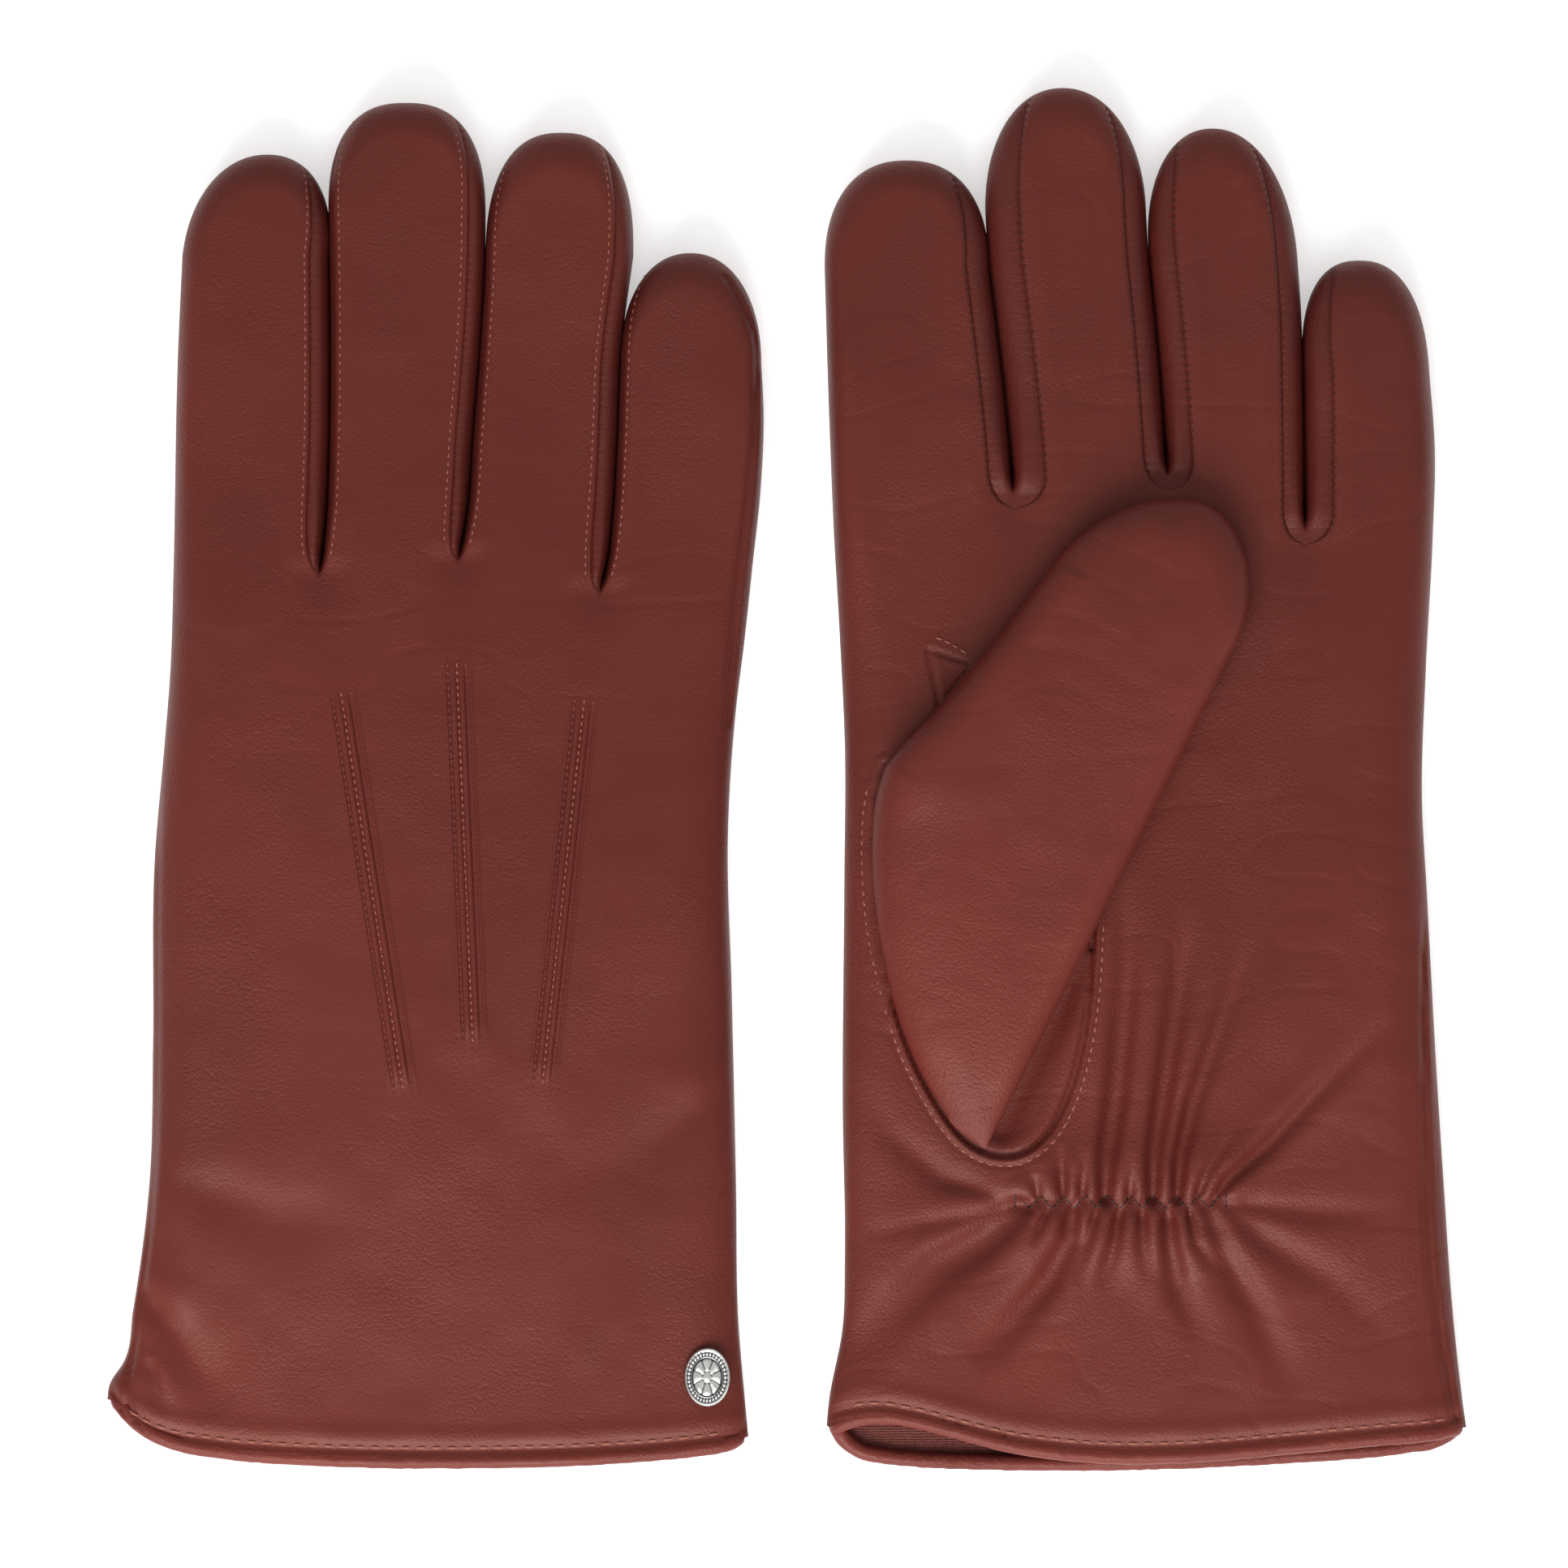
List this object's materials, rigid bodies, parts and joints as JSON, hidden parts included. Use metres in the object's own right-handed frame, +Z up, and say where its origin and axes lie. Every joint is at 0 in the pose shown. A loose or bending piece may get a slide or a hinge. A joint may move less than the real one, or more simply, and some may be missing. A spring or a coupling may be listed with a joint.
{
  "type": "pair of leather gloves",
  "caption": "Pair of lined leather dress gloves with bound cuffs, side strips between the fingers and raised lines on the back.",
  "frame": {"origin": "under the middle of the pair, on the surface that the gloves lie on", "axes": "+Z up, +Y towards the fingertips, +X from the right glove (back up) to the left glove (palm up)"},
  "size_m": [0.2557, 0.2598, 0.0224],
  "materials": {
    "leather": "semi-matte, fine pebble grain",
    "binding_leather": "semi-matte, rolled edge",
    "lining": "fine knit",
    "thread": "twisted thread",
    "elastic": "woven over rubber",
    "metal": "polished"
  },
  "bodies": {
    "right_hand": {"right_trank": "leather", "right_thumb_gusset": "leather", "right_cuff_binding": "binding_leather", "right_cuff_stitching": "thread", "right_back_points": "leather", "right_wrist_elastic": "elastic", "right_hand_lining": "lining", "right_badge": "metal", "right_badge_backplate": "metal"},
    "right_thumb": {"right_thumb_sheath": "leather", "right_thumb_lining": "lining"},
    "right_index": {"right_index_sheath": "leather", "right_index_fourchette": "leather", "right_index_lining": "lining"},
    "right_middle": {"right_middle_sheath": "leather", "right_middle_fourchettes": "leather", "right_middle_lining": "lining"},
    "right_ring": {"right_ring_sheath": "leather", "right_ring_fourchettes": "leather", "right_ring_lining": "lining"},
    "right_little": {"right_little_sheath": "leather", "right_little_fourchette": "leather", "right_little_lining": "lining"},
    "left_hand": {"left_trank": "leather", "left_thumb_gusset": "leather", "left_cuff_binding": "binding_leather", "left_cuff_stitching": "thread", "left_back_points": "leather", "left_wrist_elastic": "elastic", "left_hand_lining": "lining", "left_badge": "metal", "left_badge_backplate": "metal"},
    "left_thumb": {"left_thumb_sheath": "leather", "left_thumb_lining": "lining"},
    "left_index": {"left_index_sheath": "leather", "left_index_fourchette": "leather", "left_index_lining": "lining"},
    "left_middle": {"left_middle_sheath": "leather", "left_middle_fourchettes": "leather", "left_middle_lining": "lining"},
    "left_ring": {"left_ring_sheath": "leather", "left_ring_fourchettes": "leather", "left_ring_lining": "lining"},
    "left_little": {"left_little_sheath": "leather", "left_little_fourchette": "leather", "left_little_lining": "lining"}
  },
  "joints": [
    {"name": "right_index_bend", "type": "hinge", "parent": "right_hand", "child": "right_index", "pos_m": [-0.10125, 0.053, 0.00065], "axis": [-1, 0, 0], "range_deg": [0, 80]},
    {"name": "right_middle_bend", "type": "hinge", "parent": "right_hand", "child": "right_middle", "pos_m": [-0.07365, 0.0545, 0.00065], "axis": [-1, 0, 0], "range_deg": [0, 80]},
    {"name": "right_ring_bend", "type": "hinge", "parent": "right_hand", "child": "right_ring", "pos_m": [-0.0468, 0.054, 0.00065], "axis": [-1, 0, 0], "range_deg": [0, 80]},
    {"name": "right_little_bend", "type": "hinge", "parent": "right_hand", "child": "right_little", "pos_m": [-0.01925, 0.0515, 0.00065], "axis": [-1, 0, 0], "range_deg": [0, 80]},
    {"name": "right_thumb_swing", "type": "hinge", "parent": "right_hand", "child": "right_thumb", "pos_m": [-0.1104, -0.033, 0.0003], "axis": [-0.1551, 0.9879, 0], "range_deg": [0, 90]},
    {"name": "left_index_bend", "type": "hinge", "parent": "left_hand", "child": "left_index", "pos_m": [0.02495, 0.053, 0.01265], "axis": [1, 0, 0], "range_deg": [0, 80]},
    {"name": "left_middle_bend", "type": "hinge", "parent": "left_hand", "child": "left_middle", "pos_m": [0.05615, 0.0545, 0.01265], "axis": [1, 0, 0], "range_deg": [0, 80]},
    {"name": "left_ring_bend", "type": "hinge", "parent": "left_hand", "child": "left_ring", "pos_m": [0.0834, 0.054, 0.01265], "axis": [1, 0, 0], "range_deg": [0, 80]},
    {"name": "left_little_bend", "type": "hinge", "parent": "left_hand", "child": "left_little", "pos_m": [0.10865, 0.0515, 0.01265], "axis": [1, 0, 0], "range_deg": [0, 80]},
    {"name": "left_thumb_swing", "type": "hinge", "parent": "left_hand", "child": "left_thumb", "pos_m": [0.0184, -0.033, 0.0128], "axis": [0.1551, -0.9879, 0], "range_deg": [0, 90]},
    {"name": "left_glove_lift", "type": "slide", "parent": "right_hand", "child": "left_hand", "axis": [0, 0, 1], "range_m": [0, 0.1]}
  ]
}
